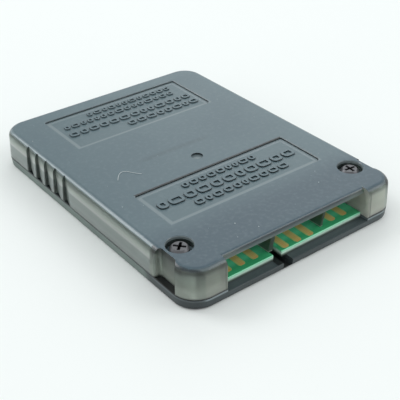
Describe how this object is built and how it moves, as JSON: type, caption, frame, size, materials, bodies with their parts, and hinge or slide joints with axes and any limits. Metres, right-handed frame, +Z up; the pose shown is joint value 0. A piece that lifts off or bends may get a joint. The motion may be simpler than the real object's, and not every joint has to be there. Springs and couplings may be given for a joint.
{
  "type": "console memory card",
  "caption": "Flat game-console memory card: smoke plastic shells screwed around a circuit board, with gold edge contacts in an open mouth, side notches and grip grooves.",
  "frame": {"origin": "middle of the bottom (label side) face", "axes": "+X across the card, +Y along its length away from the connector end, +Z up out of the screw side"},
  "size_m": [0.0422, 0.0562, 0.0068],
  "materials": {
    "smoke_plastic": "smoke-tinted, satin",
    "dark_plastic": "satin",
    "board_green": "solder mask",
    "contact_gold": "gold plated",
    "screw_steel": "plated",
    "chip_black": "matte moulding",
    "lead_tin": "tin plated",
    "ceramic_tan": "fired",
    "tantalum_yellow": "moulded"
  },
  "bodies": {
    "root": {"upper_shell": "smoke_plastic", "lower_shell": "dark_plastic", "circuit_board": "board_green", "contact_1": "contact_gold", "contact_2": "contact_gold", "contact_3": "contact_gold", "contact_4": "contact_gold", "contact_5": "contact_gold", "contact_6": "contact_gold", "contact_7": "contact_gold", "contact_8": "contact_gold", "case_screw_left": "screw_steel", "case_screw_right": "screw_steel", "controller_chip": "chip_black", "controller_leads": "lead_tin", "memory_chip": "chip_black", "memory_leads": "lead_tin", "ceramic_resonator": "ceramic_tan", "bulk_capacitor": "tantalum_yellow", "chip_capacitor_1": "ceramic_tan", "chip_resistor_1": "chip_black", "chip_capacitor_2": "ceramic_tan", "chip_resistor_2": "chip_black", "chip_capacitor_3": "ceramic_tan", "chip_resistor_3": "chip_black", "chip_capacitor_4": "ceramic_tan", "chip_resistor_4": "chip_black"}
  },
  "joints": []
}
